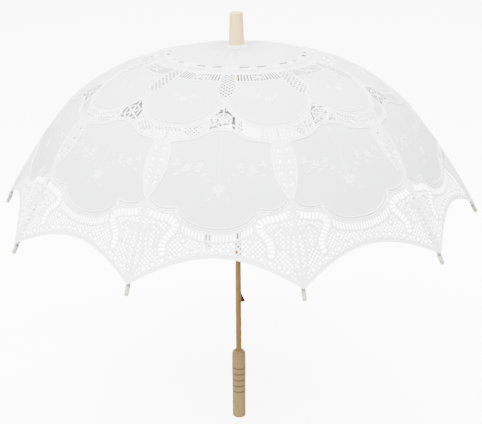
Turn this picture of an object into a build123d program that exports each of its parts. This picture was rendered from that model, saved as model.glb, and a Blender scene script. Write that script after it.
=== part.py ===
"""Lace parasol: turned wood handle, shaft and ferrule, ten two-part ribs and a sliding runner.

The origin is the centre of the handle's flat end, with +Z up the shaft. Azimuths are measured
about the shaft from -Y towards +X. All sizes are in millimetres and degrees.
"""

import os
from math import atan2, cos, degrees, radians, sin

from build123d import *

# ---- canopy frame ------------------------------------------------------------------
RIB_COUNT = 10
RIB_STEP = 360 / RIB_COUNT
FIRST_RIB = RIB_STEP / 2  # the first rib stands half a step round from the front
CROWN_HEIGHT = 645.5  # rib pivots at the crown
PIVOT_RADIUS = 11.0  # pivots of crown and runner, measured from the shaft's axis

# A rib's centre line is three tangent arcs that start level at the crown.
CROWN_ARC, CROWN_TURN = 500.0, 19.5
SHOULDER_ARC, SHOULDER_TURN = 230.0, 32.0
SKIRT_ARC, SKIRT_TURN = 1050.0, 9.2
JOINT_TURN = 12.5  # turn along the shoulder arc where the stretcher meets the rib

WIRE = 1.2  # radius of the rib and stretcher wires
EYE_HALF = 0.7  # half thickness of the flattened eyes at crown and runner
EYE_RADIUS = 2.0
SHANK = 6.0  # length of the flattened wire beside an eye
KNUCKLE = 2.6  # radius of the three leaves of a rib joint
RIB_LEAF_HALF = 0.6
FORK_HALF, FORK_GAP = 1.5, 0.7  # the outer rib's fork, around the inner rib's leaf
YOKE_HALF, YOKE_GAP = 2.45, 1.65  # the stretcher's yoke, around the fork
YOKE_REACH = 9.0
RIVET = 0.8
RIVET_PLAY = 0.07
RIVET_HEAD = 1.6
BINDING = 0.6  # radius of the wire ring threaded through the eyes
BINDING_PLAY = 0.1

# ---- canopy and tips ---------------------------------------------------------------
FABRIC_START = 9.0
FABRIC_INSIDE, FABRIC_OUTSIDE = 3.2, 4.0  # offsets of the fabric from the rib's centre line
GORE_ANGLE = RIB_STEP - 0.3
HEM_CORNER, HEM_TOP = 400.0, 441.0  # heights of the hem at a rib and midway between ribs
TIP_LENGTH, TIP_RADIUS, TIP_NECK = 20.0, 3.2, 2.3
TIP_BAND = 4.5
TIP_SOCKET = 12.0
ROSETTE_REACH, ROSETTE_HEIGHT, ROSETTE_GAP = 5.5, 5.6, 0.2
STRAP_LENGTH, STRAP_WIDTH, STRAP_THICK = 34.0, 9.0, 1.2
STRAP_OFFSET = 2.0  # degrees from the front seam to the closing strap
STRAP_SHIFT = 0.6  # from the rib's centre line out to the middle of the strap's thickness

# ---- shaft, handle and ferrule -----------------------------------------------------
SHAFT = 5.0
SHAFT_BOTTOM, SHAFT_TOP = 40.0, 684.0
HANDLE_LENGTH = 127.5
HANDLE_RADIUS, HANDLE_WAIST, HANDLE_LOWER = 12.0, 11.5, 11.6
GROOVE, GROOVE_PITCH, GROOVE_COUNT = 1.1, 11.2, 5
TOP_GROOVE = 95.5
END_GROOVE = 18.0
GRIP_TOP, WAIST_HEIGHT, SWELL_HEIGHT = 46.0, 72.0, 106.0  # where the handle's outline changes
FOOT_ROUND, NECK_ROUND = 2.5, 5.0  # roundings of the handle's two ends
NECK_RADIUS = 6.6
FERRULE_BASE, FERRULE_TOP = 649.8, 704.5
FERRULE_LOW, FERRULE_HIGH = 12.4, 10.2
FIT = 0.05  # radial clearance of a glued or turned fit

# ---- crown, runner and catches -----------------------------------------------------
CROWN_DISC, CROWN_ABOVE, CROWN_BELOW = 14.0, 3.0, 4.0
SLOT_HALF, SLOT_ROOT = 1.0, 8.4
RUNNER_BORE = 5.15
COLLAR_UP, COLLAR_DOWN = 4.0, 4.0
SLEEVE_RADIUS, SLEEVE_LENGTH, SLEEVE_FOOT = 8.0, 42.0, 9.6
KEYWAY_HALF = 1.1
CATCH_AZIMUTH = 3 * RIB_STEP
CATCH_HALF = 0.7
CATCH_REACH = 11.8
CATCH_PIVOT, CATCH_PIVOT_DROP = 3.5, 19.7
CATCH_PIN = 0.7
CATCH_PIN_HALF = 2.7  # half length, so that the pin's ends stay inside the round shaft
CATCH_SLOT_FLOOR, CATCH_SLOT_MOUTH = -2.2, 5.4  # the slot's depth, measured from the shaft's axis
CATCH_SLOT_SHORT, CATCH_SLOT_LONG = 2.2, 2.6  # room past the shoulder and past the pivot
CATCH_EYE, CATCH_NOSE = 1.6, 1.9  # the catch's half width at its pivot and the height of its nose
LOW_CATCH = 215.8  # height of the lower catch's shoulder, just above the closed runner
CATCH_GAP = 0.8
BINDING_ARC = 344.0

CROWN_PIVOT = (PIVOT_RADIUS, CROWN_HEIGHT)


def rib_point(turn):
    """Point (radius, height) of a rib's centre line where it has turned down by an angle."""
    radius, height = CROWN_PIVOT
    start = 0.0
    for arc, arc_turn in ((CROWN_ARC, CROWN_TURN), (SHOULDER_ARC, SHOULDER_TURN), (SKIRT_ARC, SKIRT_TURN)):
        end = min(turn, start + arc_turn)
        radius += arc * (sin(radians(end)) - sin(radians(start)))
        height -= arc * (cos(radians(start)) - cos(radians(end)))
        start = end
    return radius, height


RIB_END_SLOPE = CROWN_TURN + SHOULDER_TURN + SKIRT_TURN
JOINT_SLOPE = CROWN_TURN + JOINT_TURN
JOINT_POINT = rib_point(JOINT_SLOPE)
RIB_END = rib_point(RIB_END_SLOPE)
STRETCHER_SLOPE = degrees(atan2(CROWN_PIVOT[1] - JOINT_POINT[1], JOINT_POINT[0] - CROWN_PIVOT[0]))
RUNNER_PIVOT = (PIVOT_RADIUS, 2 * JOINT_POINT[1] - CROWN_HEIGHT)
RUNNER_FOOT = RUNNER_PIVOT[1] - COLLAR_DOWN - SLEEVE_LENGTH
HIGH_CATCH = RUNNER_FOOT - CATCH_GAP  # the upper catch's shoulder carries the open runner
PIN_RADIUS = 0.8
STOP_HEIGHT = RUNNER_PIVOT[1] + COLLAR_UP + 3.0
NAIL_HEIGHT = FERRULE_BASE + 12.0
AZIMUTHS = [FIRST_RIB + RIB_STEP * place for place in range(RIB_COUNT)]


def outward(azimuth):
    """Horizontal unit vector away from the shaft at an azimuth."""
    return Vector(sin(radians(azimuth)), -cos(radians(azimuth)), 0)


def sideways(azimuth):
    """Horizontal unit vector across an azimuth, towards the next rib."""
    return Vector(cos(radians(azimuth)), sin(radians(azimuth)), 0)


def rib_plane(azimuth):
    """Upright plane through the shaft: its X points away from the shaft and its Y up."""
    return Plane(origin=(0, 0, 0), x_dir=outward(azimuth), z_dir=-sideways(azimuth))


def facing_plane(azimuth):
    """Upright plane across an azimuth: its X points sideways, its Y up and its normal outward."""
    return Plane(origin=(0, 0, 0), x_dir=sideways(azimuth), z_dir=outward(azimuth))


def slope_location(point, slope, along=0.0):
    """Place in a rib plane that is some way along a line that falls by a slope."""
    fall = radians(slope)
    place = (point[0] + along * cos(fall), point[1] - along * sin(fall))
    return Location((place[0], place[1], 0), (0, 0, -slope))


def save(part, name):
    """Label a finished piece and write it as its own STEP file."""
    part.label = name
    export_step(part, f"parts/{name}.step")


def flatten(plane, point, reach, half):
    """Press the wire flat around a point, leaving a leaf of the given half thickness."""
    for side in (1, -1):
        with BuildSketch(plane.offset(side * half)) as pressed:
            with Locations(point):
                Circle(reach)
        extrude(pressed.sketch, amount=side * YOKE_HALF, mode=Mode.SUBTRACT)


def leaf(plane, point, radius, half):
    """Round leaf of a pivot, centred on the rib plane."""
    with BuildSketch(plane) as face:
        with Locations(point):
            Circle(radius)
    extrude(face.sketch, amount=half, both=True)


def pivot_hole(plane, point, radius):
    """Hole across the rib plane at a pivot."""
    with BuildSketch(plane) as hole:
        with Locations(point):
            Circle(radius)
    extrude(hole.sketch, amount=YOKE_HALF + 1, both=True, mode=Mode.SUBTRACT)


def draw_wire(line):
    """Round wire along a centre line."""
    with BuildSketch(Plane(origin=line @ 0, z_dir=line % 0)) as section:
        Circle(WIRE)
    sweep(section.sketch, path=line)


# ---- wood --------------------------------------------------------------------------
def make_shaft():
    """Round shaft with one slot for each catch and the cross holes of its pins."""
    with BuildPart() as shaft:
        with BuildSketch(Plane.XY.offset(SHAFT_BOTTOM)):
            Circle(SHAFT)
        extrude(amount=SHAFT_TOP - SHAFT_BOTTOM)
        chamfer(shaft.faces().sort_by(Axis.Z)[-1].edges(), 0.8)
        plane = rib_plane(CATCH_AZIMUTH)
        for shoulder, side in ((LOW_CATCH, 1), (HIGH_CATCH, -1)):
            far = CATCH_PIVOT_DROP + CATCH_SLOT_LONG
            low, high = sorted((shoulder - side * CATCH_SLOT_SHORT, shoulder + side * far))
            with BuildSketch(plane):
                with Locations(((CATCH_SLOT_FLOOR + CATCH_SLOT_MOUTH) / 2, (low + high) / 2)):
                    Rectangle(CATCH_SLOT_MOUTH - CATCH_SLOT_FLOOR, high - low)
            extrude(amount=CATCH_HALF + 0.2, both=True, mode=Mode.SUBTRACT)
            with BuildSketch(plane):
                with Locations((CATCH_PIVOT, shoulder + side * CATCH_PIVOT_DROP)):
                    Circle(CATCH_PIN)
            extrude(amount=SHAFT, both=True, mode=Mode.SUBTRACT)
        with BuildSketch(Plane.YZ):
            with Locations((0, STOP_HEIGHT), (0, NAIL_HEIGHT)):
                Circle(PIN_RADIUS)
        extrude(amount=FERRULE_LOW, both=True, mode=Mode.SUBTRACT)
    save(shaft.part, "shaft")


def make_pins():
    """The two catch pivots, the runner's stop pin and the ferrule's nail, as separate solids."""
    plane = rib_plane(CATCH_AZIMUTH)
    with BuildPart() as pins:
        for shoulder, side in ((LOW_CATCH, 1), (HIGH_CATCH, -1)):
            with BuildSketch(plane):
                with Locations((CATCH_PIVOT, shoulder + side * CATCH_PIVOT_DROP)):
                    Circle(CATCH_PIN)
            extrude(amount=CATCH_PIN_HALF, both=True)
        with BuildSketch(Plane.YZ):
            with Locations((0, STOP_HEIGHT)):
                Circle(PIN_RADIUS)
        extrude(amount=SHAFT + 2, both=True)
        with BuildSketch(Plane.YZ.offset(-SHAFT + 1)):
            with Locations((0, NAIL_HEIGHT)):
                Circle(PIN_RADIUS)
        extrude(amount=SHAFT + FERRULE_LOW - 1)
    save(pins.part, "shaft_pins")


def make_handle():
    """Turned handle: rounded ends, a slight waist, five grooves and one fine end groove."""
    with BuildPart() as handle:
        with BuildSketch(Plane.XZ):
            with BuildLine():
                foot = HANDLE_LOWER - FOOT_ROUND
                neck = (HANDLE_RADIUS - 0.4, HANDLE_LENGTH - NECK_ROUND)
                Line((0, 0), (foot, 0))
                RadiusArc((foot, 0), (HANDLE_LOWER, FOOT_ROUND), -FOOT_ROUND)
                Line((HANDLE_LOWER, FOOT_ROUND), (HANDLE_LOWER, GRIP_TOP))
                Spline(
                    (HANDLE_LOWER, GRIP_TOP),
                    (HANDLE_WAIST + 0.3, WAIST_HEIGHT),
                    (HANDLE_RADIUS, SWELL_HEIGHT),
                    neck,
                )
                RadiusArc(neck, (NECK_RADIUS, HANDLE_LENGTH), -1.5 * NECK_ROUND)
                Line((NECK_RADIUS, HANDLE_LENGTH), (0, HANDLE_LENGTH))
                Line((0, HANDLE_LENGTH), (0, 0))
            make_face()
        revolve(axis=Axis.Z)
        for place in range(GROOVE_COUNT):
            turned_groove(TOP_GROOVE - place * GROOVE_PITCH, HANDLE_WAIST + 0.4, GROOVE)
        turned_groove(END_GROOVE, HANDLE_LOWER, GROOVE / 2)
        with BuildSketch(Plane.XY.offset(SHAFT_BOTTOM)):
            Circle(SHAFT + FIT)
        extrude(amount=HANDLE_LENGTH, mode=Mode.SUBTRACT)
    save(handle.part, "handle")


def turned_groove(height, radius, depth):
    """Round-bottomed groove turned into a wooden piece."""
    with BuildSketch(Plane.XZ) as groove:
        with Locations((radius + 0.6, height)):
            Circle(depth + 0.6)
    revolve(groove.sketch, axis=Axis.Z, mode=Mode.SUBTRACT)


def make_ferrule():
    """Tapered wooden ferrule above the canopy, with a rounded top and a blind bore."""
    with BuildPart() as ferrule:
        with BuildSketch(Plane.XZ):
            with BuildLine():
                Polyline(
                    (0, FERRULE_BASE),
                    (FERRULE_LOW, FERRULE_BASE),
                    (FERRULE_HIGH, FERRULE_TOP),
                    (0, FERRULE_TOP),
                    close=True,
                )
            make_face()
        revolve(axis=Axis.Z)
        fillet(ferrule.faces().sort_by(Axis.Z)[-1].edges(), 2.2)
        fillet(ferrule.faces().sort_by(Axis.Z)[0].edges(), 0.8)
        with BuildSketch(Plane.XY.offset(FERRULE_BASE)):
            Circle(SHAFT + FIT)
        extrude(amount=SHAFT_TOP + 0.6 - FERRULE_BASE, mode=Mode.SUBTRACT)
        with BuildSketch(Plane.YZ):
            with Locations((0, NAIL_HEIGHT)):
                Circle(PIN_RADIUS)
        extrude(amount=FERRULE_LOW + 1, mode=Mode.SUBTRACT)
    save(ferrule.part, "ferrule")


# ---- crown and runner --------------------------------------------------------------
def pivot_slots(pivot_height, direction):
    """Slots for the eyes, open at the rim and towards one end of the disc."""
    for azimuth in AZIMUTHS:
        low, high = sorted((pivot_height - direction * (EYE_RADIUS + 0.4), pivot_height + direction * 8))
        with BuildSketch(rib_plane(azimuth)) as slot:
            with Locations((SLOT_ROOT + 4, (low + high) / 2)):
                Rectangle(8, high - low)
        extrude(slot.sketch, amount=SLOT_HALF, both=True, mode=Mode.SUBTRACT)


def binding_ring(pivot_height, radius, arc, mode):
    """Round ring through the eyes, with its ends apart at the catches' azimuth."""
    first = CATCH_AZIMUTH + (360 - arc) / 2
    with BuildSketch(rib_plane(first)) as section:
        with Locations((PIVOT_RADIUS, pivot_height)):
            Circle(radius)
    revolve(section.sketch, axis=Axis.Z, revolution_arc=arc, mode=mode)


def make_crown():
    """Slotted crown disc on the shaft, with its binding wire as a second solid."""
    with BuildPart() as wire:
        binding_ring(CROWN_HEIGHT, BINDING, BINDING_ARC, Mode.ADD)
    with BuildPart() as crown:
        with BuildSketch(Plane.XY.offset(CROWN_HEIGHT - CROWN_BELOW)):
            Circle(CROWN_DISC)
            Circle(SHAFT + FIT, mode=Mode.SUBTRACT)
        extrude(amount=CROWN_ABOVE + CROWN_BELOW)
        with BuildSketch(Plane.XY.offset(CROWN_HEIGHT - CROWN_BELOW - 6)):
            Circle(SLEEVE_RADIUS)
            Circle(SHAFT + FIT, mode=Mode.SUBTRACT)
        extrude(amount=6)
        pivot_slots(CROWN_HEIGHT, -1)
        binding_ring(CROWN_HEIGHT, BINDING + FIT, BINDING_ARC + 2, Mode.SUBTRACT)
        add(wire.part)
    save(crown.part, "crown_notch")


def make_runner():
    """Sliding runner: slotted collar, sleeve and foot, all cut by a keyway that clears the catches."""
    collar_top = RUNNER_PIVOT[1] + COLLAR_UP
    collar_bottom = RUNNER_PIVOT[1] - COLLAR_DOWN
    with BuildPart() as wire:
        binding_ring(RUNNER_PIVOT[1], BINDING, BINDING_ARC, Mode.ADD)
    with BuildPart() as runner:
        with BuildSketch(Plane.XZ):
            with BuildLine():
                Polyline(
                    (RUNNER_BORE, RUNNER_FOOT),
                    (SLEEVE_FOOT, RUNNER_FOOT),
                    (SLEEVE_FOOT, RUNNER_FOOT + 3),
                    (SLEEVE_RADIUS, RUNNER_FOOT + 5),
                    (SLEEVE_RADIUS, collar_bottom - 3),
                    (CROWN_DISC, collar_bottom),
                    (CROWN_DISC, collar_top),
                    (RUNNER_BORE, collar_top),
                    close=True,
                )
            make_face()
        revolve(axis=Axis.Z)
        pivot_slots(RUNNER_PIVOT[1], 1)
        binding_ring(RUNNER_PIVOT[1], BINDING + FIT, BINDING_ARC + 2, Mode.SUBTRACT)
        with BuildSketch(rib_plane(CATCH_AZIMUTH)):
            with Locations((CROWN_DISC / 2 + 2, (RUNNER_FOOT + collar_top) / 2)):
                Rectangle(CROWN_DISC, collar_top - RUNNER_FOOT + 2)
        extrude(amount=KEYWAY_HALF, both=True, mode=Mode.SUBTRACT)
        add(wire.part)
    save(runner.part, "runner")


def make_catch(name, shoulder, side):
    """Flat spring catch: a ramp, a shoulder that holds the runner and a pivot eye."""
    ramp_top = CATCH_PIVOT_DROP - 3
    outline = (
        (CATCH_PIVOT - CATCH_EYE, CATCH_PIVOT_DROP + CATCH_EYE),
        (CATCH_PIVOT + CATCH_EYE - 0.2, CATCH_PIVOT_DROP + CATCH_EYE),
        (SHAFT + 0.4, ramp_top),
        (CATCH_REACH, CATCH_NOSE),
        (CATCH_REACH - 0.4, 0),
        (SHAFT + 0.2, 0),
        (CATCH_PIVOT - CATCH_EYE, CATCH_PIVOT_DROP - 2),
    )
    with BuildPart() as catch:
        with BuildSketch(rib_plane(CATCH_AZIMUTH)):
            with BuildLine():
                Polyline(*[(across, shoulder + side * up) for across, up in outline], close=True)
            make_face()
            with Locations((CATCH_PIVOT, shoulder + side * CATCH_PIVOT_DROP)):
                Circle(CATCH_PIN + FIT, mode=Mode.SUBTRACT)
        extrude(amount=CATCH_HALF, both=True)
    save(catch.part, name)


# ---- ribs and stretchers -----------------------------------------------------------
def make_inner_rib(number, azimuth):
    """Inner half of a rib, from its eye at the crown to the leaf at the stretcher joint."""
    plane = rib_plane(azimuth)
    with BuildPart() as rib:
        with BuildLine(plane) as centre:
            crown = JernArc(start=CROWN_PIVOT, tangent=(1, 0), radius=CROWN_ARC, arc_size=-CROWN_TURN)
            JernArc(start=crown @ 1, tangent=crown % 1, radius=SHOULDER_ARC, arc_size=-JOINT_TURN)
        draw_wire(centre.wires()[0])
        flatten(plane, CROWN_PIVOT, SHANK, EYE_HALF)
        flatten(plane, JOINT_POINT, KNUCKLE + 1, RIB_LEAF_HALF)
        leaf(plane, CROWN_PIVOT, EYE_RADIUS, EYE_HALF)
        leaf(plane, JOINT_POINT, KNUCKLE, RIB_LEAF_HALF)
        pivot_hole(plane, CROWN_PIVOT, BINDING + BINDING_PLAY)
        pivot_hole(plane, JOINT_POINT, RIVET + RIVET_PLAY)
    save(rib.part, f"rib_inner_{number}")


def make_outer_rib(number, azimuth):
    """Outer half of a rib, from its fork at the stretcher joint to the end inside the tip."""
    plane = rib_plane(azimuth)
    with BuildPart() as rib:
        with BuildLine(plane) as centre:
            slope = radians(JOINT_SLOPE)
            shoulder = JernArc(
                start=JOINT_POINT,
                tangent=(cos(slope), -sin(slope)),
                radius=SHOULDER_ARC,
                arc_size=JOINT_TURN - SHOULDER_TURN,
            )
            skirt = JernArc(start=shoulder @ 1, tangent=shoulder % 1, radius=SKIRT_ARC, arc_size=-SKIRT_TURN)
            Line(skirt @ 1, (skirt @ 1) + (skirt % 1) * TIP_SOCKET)
        draw_wire(centre.wires()[0])
        with BuildSketch(plane):
            with Locations(JOINT_POINT):
                Circle(KNUCKLE)
            with Locations(slope_location(JOINT_POINT, JOINT_SLOPE, 4)):
                Rectangle(8, 3.2)
        extrude(amount=FORK_HALF, both=True)
        with BuildSketch(plane):
            with Locations(JOINT_POINT):
                Circle(KNUCKLE + 1.6)
        extrude(amount=FORK_GAP, both=True, mode=Mode.SUBTRACT)
        pivot_hole(plane, JOINT_POINT, RIVET + RIVET_PLAY)
    save(rib.part, f"rib_outer_{number}")


def make_stretcher(number, azimuth):
    """Stretcher from the runner to a rib's joint, with the joint's rivet as a second solid."""
    plane = rib_plane(azimuth)
    with BuildPart() as rivet:
        leaf(plane, JOINT_POINT, RIVET, YOKE_HALF + 0.1)
        for side in (1, -1):
            with BuildSketch(plane.offset(side * (YOKE_HALF + FIT))):
                with Locations(JOINT_POINT):
                    Circle(RIVET_HEAD)
            extrude(amount=side * 0.7)
    with BuildPart() as stretcher:
        with BuildLine(plane) as centre:
            Line(RUNNER_PIVOT, JOINT_POINT)
        draw_wire(centre.wires()[0])
        with BuildSketch(plane):
            with Locations(JOINT_POINT):
                Circle(KNUCKLE)
            with Locations(slope_location(JOINT_POINT, -STRETCHER_SLOPE, -YOKE_REACH / 2 - 1.5)):
                Rectangle(YOKE_REACH + 3, 3.2)
        extrude(amount=YOKE_HALF, both=True)
        with BuildSketch(plane):
            with Locations(JOINT_POINT):
                Circle(YOKE_REACH)
        extrude(amount=YOKE_GAP, both=True, mode=Mode.SUBTRACT)
        pivot_hole(plane, JOINT_POINT, RIVET + FIT)
        flatten(plane, RUNNER_PIVOT, SHANK, EYE_HALF)
        leaf(plane, RUNNER_PIVOT, EYE_RADIUS, EYE_HALF)
        pivot_hole(plane, RUNNER_PIVOT, BINDING + BINDING_PLAY)
        add(rivet.part)
    save(stretcher.part, f"stretcher_{number}")


def make_tip(number, azimuth):
    """Turned cap on a rib's end: a narrow band for the thread, then a rounded body."""
    plane = rib_plane(azimuth)
    slope = radians(RIB_END_SLOPE)
    along = plane.from_local_coords(Vector(cos(slope), -sin(slope)))
    base = Plane(origin=plane.from_local_coords(Vector(*RIB_END)), z_dir=along)
    with BuildPart() as tip:
        with BuildSketch(base):
            Circle(TIP_NECK)
        extrude(amount=TIP_BAND)
        with BuildSketch(base.offset(TIP_BAND)):
            Circle(TIP_RADIUS)
        extrude(amount=TIP_LENGTH - TIP_BAND)
        line = Axis(base.origin, base.z_dir)
        fillet(tip.faces().sort_by(line)[-1].edges(), TIP_RADIUS * 0.8)
        shoulder = tip.faces().filter_by(GeomType.PLANE).sort_by(line)[1]
        chamfer(shoulder.edges().sort_by(Edge.length)[-1], 0.5)
        with BuildSketch(base):
            Circle(WIRE)
        extrude(amount=TIP_SOCKET, mode=Mode.SUBTRACT)
    save(tip.part, f"tip_{number}")


# ---- canopy ------------------------------------------------------------------------
def fabric_line(offset):
    """Meridian of the fabric, parallel to a rib's centre line; returns its last arc."""
    level = Line((FABRIC_START, CROWN_HEIGHT + offset), (PIVOT_RADIUS, CROWN_HEIGHT + offset))
    crown = JernArc(start=level @ 1, tangent=(1, 0), radius=CROWN_ARC + offset, arc_size=-CROWN_TURN)
    shoulder = JernArc(
        start=crown @ 1, tangent=crown % 1, radius=SHOULDER_ARC + offset, arc_size=-SHOULDER_TURN
    )
    return JernArc(
        start=shoulder @ 1, tangent=shoulder % 1, radius=SKIRT_ARC + offset, arc_size=-SKIRT_TURN
    )


def hem_cut(azimuth):
    """Cut the hem's concave arch, which is centred midway between two ribs."""
    half_width = (RIB_END[0] + FABRIC_OUTSIDE) * sin(radians(RIB_STEP / 2))
    with BuildSketch(facing_plane(azimuth).offset(RIB_END[0] / 2)) as arch:
        with BuildLine():
            ThreePointArc((-half_width, HEM_CORNER), (0, HEM_TOP), (half_width, HEM_CORNER))
            Polyline(
                (half_width, HEM_CORNER),
                (half_width, HEM_CORNER - 40),
                (-half_width, HEM_CORNER - 40),
                (-half_width, HEM_CORNER),
            )
        make_face()
    extrude(arch.sketch, amount=RIB_END[0], mode=Mode.SUBTRACT)


def make_gore(number, azimuth):
    """One panel of the canopy, centred on its rib, with half a hem arch on either side."""
    with BuildPart() as gore:
        with BuildSketch(rib_plane(azimuth - GORE_ANGLE / 2)):
            with BuildLine():
                outside = fabric_line(FABRIC_OUTSIDE)
                inside = fabric_line(FABRIC_INSIDE)
                Line(outside @ 1, inside @ 1)
                Line(
                    (FABRIC_START, CROWN_HEIGHT + FABRIC_OUTSIDE),
                    (FABRIC_START, CROWN_HEIGHT + FABRIC_INSIDE),
                )
            make_face()
        revolve(axis=Axis.Z, revolution_arc=GORE_ANGLE)
        for side in (1, -1):
            hem_cut(azimuth + side * RIB_STEP / 2)
    save(gore.part, f"canopy_gore_{number}")


def make_rosette():
    """Soft gathered ring that covers the canopy's centre around the ferrule."""
    base = CROWN_HEIGHT + FABRIC_OUTSIDE + 0.3
    inside = FERRULE_LOW + ROSETTE_GAP
    rim = inside + ROSETTE_REACH
    peak = base + ROSETTE_HEIGHT
    with BuildPart() as rosette:
        with BuildSketch(Plane.XZ):
            with BuildLine():
                Line((inside, base), (rim, base))
                ThreePointArc(
                    (rim, base),
                    (inside + 0.76 * ROSETTE_REACH, base + 0.75 * ROSETTE_HEIGHT),
                    (inside, peak),
                )
                Line((inside, peak), (inside, base))
            make_face()
        revolve(axis=Axis.Z)
    save(rosette.part, "crown_rosette")


def make_tie_strap():
    """Short closing strap that hangs inside the hem, beside the front seam."""
    azimuth = FIRST_RIB - RIB_STEP / 2 - STRAP_OFFSET
    slope = CROWN_TURN + SHOULDER_TURN + SKIRT_TURN * 0.62
    radius, height = rib_point(slope)
    inward = radians(slope)
    place = (radius + STRAP_SHIFT * sin(inward), height + STRAP_SHIFT * cos(inward))
    with BuildPart() as strap:
        with BuildSketch(rib_plane(azimuth)):
            with Locations(slope_location(place, slope)):
                Rectangle(STRAP_LENGTH, STRAP_THICK)
        extrude(amount=STRAP_WIDTH / 2, both=True)
        fillet(strap.edges().sort_by(Edge.length)[:4], 0.4)
    save(strap.part, "tie_strap")


def main():
    """Build every piece and write it to its own file."""
    os.makedirs("parts", exist_ok=True)
    make_shaft()
    make_pins()
    make_handle()
    make_ferrule()
    make_crown()
    make_runner()
    make_catch("catch_lower", LOW_CATCH, 1)
    make_catch("catch_upper", HIGH_CATCH, -1)
    make_rosette()
    make_tie_strap()
    for number, azimuth in enumerate(AZIMUTHS, start=1):
        make_inner_rib(number, azimuth)
        make_outer_rib(number, azimuth)
        make_stretcher(number, azimuth)
        make_tip(number, azimuth)
        make_gore(number, azimuth)


main()
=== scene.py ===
import logging
from dataclasses import dataclass, field
from enum import Enum
from math import cos, pi, radians, sin

import bpy
import numpy as np
from mathutils import Matrix, Vector


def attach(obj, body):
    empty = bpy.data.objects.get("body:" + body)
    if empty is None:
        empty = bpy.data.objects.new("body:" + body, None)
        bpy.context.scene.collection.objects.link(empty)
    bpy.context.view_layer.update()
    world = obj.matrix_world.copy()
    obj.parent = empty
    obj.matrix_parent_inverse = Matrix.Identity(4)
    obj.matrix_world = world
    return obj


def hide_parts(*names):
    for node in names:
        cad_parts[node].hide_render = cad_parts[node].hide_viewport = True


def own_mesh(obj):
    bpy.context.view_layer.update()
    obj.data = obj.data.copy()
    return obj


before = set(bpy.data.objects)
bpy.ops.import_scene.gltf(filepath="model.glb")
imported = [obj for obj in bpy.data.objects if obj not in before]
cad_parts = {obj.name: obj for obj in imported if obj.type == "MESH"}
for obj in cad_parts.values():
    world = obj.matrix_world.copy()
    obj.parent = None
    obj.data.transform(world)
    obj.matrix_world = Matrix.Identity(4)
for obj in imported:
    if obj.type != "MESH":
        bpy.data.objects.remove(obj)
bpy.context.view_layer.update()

log = logging.getLogger("lace_parasol")

MM = 0.001
RIB_COUNT = 10
RIB_STEP = 360 / RIB_COUNT
HALF_BAY = RIB_STEP / 2  # degrees from a rib to the middle of the panel beside it
FAR = 1e9  # more than any distance on the canopy
NEAR = 1e-9  # keeps a division by a length clear of 0
TINY = 1e-12  # keeps a division by a step down the rib clear of 0

Line = np.ndarray  # rows of (angle from the middle of a panel in degrees, distance down the rib in mm)
Colour = tuple[float, float, float, float]
Finishes = dict[Enum, bpy.types.Material]


class Slot(Enum):
    """Material slots of the parasol."""

    SHAFT = "shaft_wood"
    HANDLE = "handle_wood"
    FERRULE = "ferrule_wood"
    WIRE = "frame_wire"
    FITTING = "fitting_metal"
    PIN = "pin_metal"
    CATCH = "catch_wire"
    TIP = "tip_cap"
    LACE = "lace"
    RIBBON = "ribbon"


class Dressing(Enum):
    """Kinds of lace work that share the cloth's slot."""

    TAPE = "tape"
    CORD = "cord"


class Tier(Enum):
    """The two lengths of a panel, above and below the stretcher joint."""

    UPPER = "upper"
    LOWER = "lower"


def paint(red: int, green: int, blue: int) -> Colour:
    """A shader colour from display values.

    Args:
        red: From 0 to 255.
        green: From 0 to 255.
        blue: From 0 to 255.

    Returns:
        The opaque colour, as shares of full light.
    """
    shares = [value / 255 for value in (red, green, blue)]
    light = [share / 12.92 if share < 0.04045 else ((share + 0.055) / 1.055) ** 2.4 for share in shares]
    return (*light, 1.0)


# ---- finishes ----------------------------------------------------------------------
class Amount:
    """A value in a material that takes part in arithmetic."""

    def __init__(self, graph: "Graph", socket: bpy.types.NodeSocket) -> None:
        """Keep the socket and the material that it belongs to."""
        self.graph = graph
        self.socket = socket

    def _sum(self, operation: str, first: "Amount | float", second: "Amount | float") -> "Amount":
        """Add one Math node.

        Args:
            operation: The node's operation.
            first: Its first value.
            second: Its second value.

        Returns:
            The node's result.
        """
        node = self.graph.node("ShaderNodeMath", {"operation": operation}, {0: first, 1: second})
        return Amount(self.graph, node.outputs[0])

    def __add__(self, other: "Amount | float") -> "Amount":
        """This value plus another."""
        return self._sum("ADD", self, other)

    def __radd__(self, other: float) -> "Amount":
        """A number plus this value."""
        return self._sum("ADD", other, self)

    def __sub__(self, other: "Amount | float") -> "Amount":
        """This value less another."""
        return self._sum("SUBTRACT", self, other)

    def __rsub__(self, other: float) -> "Amount":
        """A number less this value."""
        return self._sum("SUBTRACT", other, self)

    def __mul__(self, other: "Amount | float") -> "Amount":
        """This value times another."""
        return self._sum("MULTIPLY", self, other)

    def __rmul__(self, other: float) -> "Amount":
        """A number times this value."""
        return self._sum("MULTIPLY", other, self)

    def __mod__(self, other: float) -> "Amount":
        """What is left of this value above a multiple of another."""
        return self._sum("FLOORED_MODULO", self, other)

    def __abs__(self) -> "Amount":
        """The size of this value."""
        return self._sum("ABSOLUTE", self, 0.0)


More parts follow.
